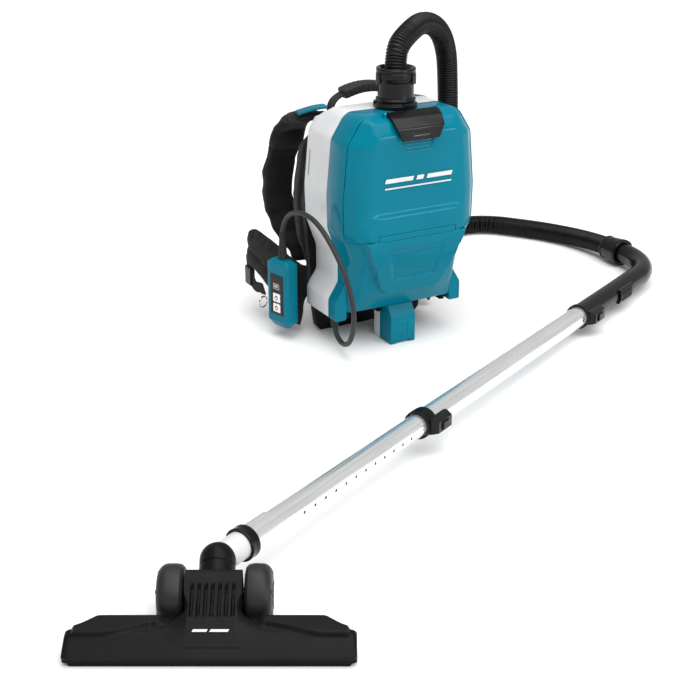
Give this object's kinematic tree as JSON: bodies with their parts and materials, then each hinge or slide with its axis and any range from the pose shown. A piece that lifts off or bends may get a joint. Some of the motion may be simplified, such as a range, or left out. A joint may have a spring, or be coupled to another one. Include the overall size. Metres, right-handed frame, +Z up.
{
  "type": "backpack vacuum cleaner",
  "caption": "Backpack vacuum cleaner on a padded harness, with a corrugated hose, telescopic wand, wheeled floor nozzle and wired control unit.",
  "frame": {"origin": "on the floor, on the battery guard's bottom face, straight under the hose inlet's upright axis", "axes": "+Z up, -Y out of the front cover, +Y towards the wearer's back, +X to the right seen from the front; the wand and nozzle lie on the floor in front"},
  "size_m": [1.3166, 1.1666, 0.4999],
  "materials": {
    "pale_housing": "satin light grey moulding",
    "teal_housing": "glossy teal moulding",
    "black_plastic": "fine moulded grain",
    "steel": "plain turned steel",
    "bag_fleece": "fleece dust bag",
    "filter_media": "pleated media",
    "aluminium_parts": "cast",
    "motor_steel": "coated",
    "rubber_parts": "soft",
    "circuit": "solder mask",
    "grey_plastic": "fine grain",
    "pad_fabric": "woven nylon over foam",
    "teal_fabric": "smooth woven piping",
    "webbing": "ribbed webbing",
    "chrome_ring": "polished",
    "rubber_cable": "matt sheath",
    "black_panel": "smooth panel",
    "white_buttons": "soft keys",
    "hose_plastic": "corrugated",
    "tube_aluminium": "anodised, satin",
    "nozzle_plastic": "fine moulded grain",
    "bristle": "pile strip",
    "wheel_rubber": "soft tread"
  },
  "bodies": {
    "pack": {"rear_housing": "pale_housing", "front_housing": "teal_housing", "cover_hinge_pins": "steel", "inlet_port": "black_plastic", "chamber_floor": "black_plastic", "dust_bag": "bag_fleece", "hepa_filter": "filter_media", "fan_casing": "black_plastic", "motor": "motor_steel", "motor_mount": "rubber_parts", "circuit_board": "circuit", "battery_rails": "black_plastic", "battery_terminals": "black_plastic", "battery_guard": "teal_housing", "guard_back": "pale_housing", "side_insert": "grey_plastic", "housing_screws": "steel", "back_frame": "black_plastic", "back_pad": "pad_fabric", "shoulder_strap_left": "pad_fabric", "shoulder_strap_right": "pad_fabric", "strap_trim": "teal_fabric", "hip_belt_left": "pad_fabric", "hip_belt_right": "pad_fabric", "belt_buckles": "black_plastic", "belt_webbing": "webbing", "belt_ring": "chrome_ring", "carry_strap": "webbing", "carry_grip": "rubber_parts", "cable_gland": "rubber_parts", "control_cable": "rubber_cable", "unit_body": "teal_housing", "unit_face": "black_panel", "unit_sleeve": "rubber_parts", "unit_clip": "black_plastic", "hose": "hose_plastic", "handle_pipe": "black_plastic", "outer_tube": "tube_aluminium", "tube_collar": "black_plastic"},
    "cover": {"front_cover": "teal_housing", "latch_pin": "steel"},
    "latch": {"cover_latch": "black_plastic"},
    "cuff": {"inlet_cuff": "black_plastic"},
    "fan_rotor": {"fan": "aluminium_parts", "motor_shaft": "steel"},
    "power_key": {"button_power": "white_buttons"},
    "mode_key": {"button_mode": "white_buttons"},
    "air_slider": {"suction_slider": "black_plastic"},
    "handle_key": {"handle_lock": "black_plastic"},
    "tube_key": {"tube_lock_button": "black_plastic"},
    "hose_swivel": {"hose_cuff": "black_plastic"},
    "lower_wand": {"inner_tube": "tube_aluminium", "neck_pipe": "pale_housing"},
    "barrel": {"nozzle_barrel": "nozzle_plastic"},
    "nozzle": {"nozzle_body": "nozzle_plastic", "nozzle_sole": "nozzle_plastic", "brush_strips": "bristle", "wheel_axle": "steel"},
    "left_wheel": {"wheel_left": "wheel_rubber"},
    "right_wheel": {"wheel_right": "wheel_rubber"}
  },
  "joints": [
    {"name": "cover_hinge", "type": "hinge", "parent": "pack", "child": "cover", "pos_m": [0, -0.069, 0.184], "axis": [1, 0, 0], "range_deg": [0, 95]},
    {"name": "latch_hinge", "type": "hinge", "parent": "cover", "child": "latch", "pos_m": [0, -0.047, 0.3746], "axis": [-1, 0, 0], "range_deg": [0, 38]},
    {"name": "cuff_turn", "type": "hinge", "parent": "pack", "child": "cuff", "pos_m": [0, 0, 0.39], "axis": [0, 0, 1], "range_deg": [-30, 0]},
    {"name": "fan_spin", "type": "hinge", "parent": "pack", "child": "fan_rotor", "pos_m": [0, 0.014, 0.12], "axis": [0, 0, 1], "continuous": true},
    {"name": "power_press", "type": "slide", "parent": "pack", "child": "power_key", "axis": [0.9703, 0.2419, 0], "range_m": [0, 0.001], "stiffness_N_per_m": 400},
    {"name": "mode_press", "type": "slide", "parent": "pack", "child": "mode_key", "axis": [0.9703, 0.2419, 0], "range_m": [0, 0.001], "stiffness_N_per_m": 400},
    {"name": "air_slide", "type": "slide", "parent": "pack", "child": "air_slider", "axis": [0.8832, 0.4686, -0.0209], "range_m": [0, 0.016]},
    {"name": "handle_key_press", "type": "slide", "parent": "pack", "child": "handle_key", "axis": [-0.4687, 0.8834, 0], "range_m": [0, 0.002], "stiffness_N_per_m": 500},
    {"name": "tube_key_press", "type": "slide", "parent": "pack", "child": "tube_key", "axis": [-0.4687, 0.8834, 0], "range_m": [0, 0.002], "stiffness_N_per_m": 500},
    {"name": "hose_swivel_turn", "type": "hinge", "parent": "pack", "child": "hose_swivel", "pos_m": [0.54272, 0.09021, 0.02499], "axis": [-0.0341, 0.9994, -0.0092], "continuous": true},
    {"name": "wand_slide", "type": "slide", "parent": "pack", "child": "lower_wand", "axis": [0.8832, 0.4686, -0.0209], "range_m": [0, 0.3]},
    {"name": "neck_swivel", "type": "hinge", "parent": "lower_wand", "child": "barrel", "pos_m": [-0.56221, -0.5787, 0.052], "axis": [0.4199, 0.7574, 0.5], "range_deg": [-90, 90]},
    {"name": "nozzle_tilt", "type": "hinge", "parent": "barrel", "child": "nozzle", "pos_m": [-0.579, -0.609, 0.032], "axis": [0.8746, -0.4848, 0], "range_deg": [-22, 8]},
    {"name": "left_wheel_spin", "type": "hinge", "parent": "nozzle", "child": "left_wheel", "pos_m": [-0.579, -0.609, 0.032], "axis": [0.8746, -0.4848, 0], "continuous": true},
    {"name": "right_wheel_spin", "type": "hinge", "parent": "nozzle", "child": "right_wheel", "pos_m": [-0.579, -0.609, 0.032], "axis": [0.8746, -0.4848, 0], "continuous": true}
  ]
}
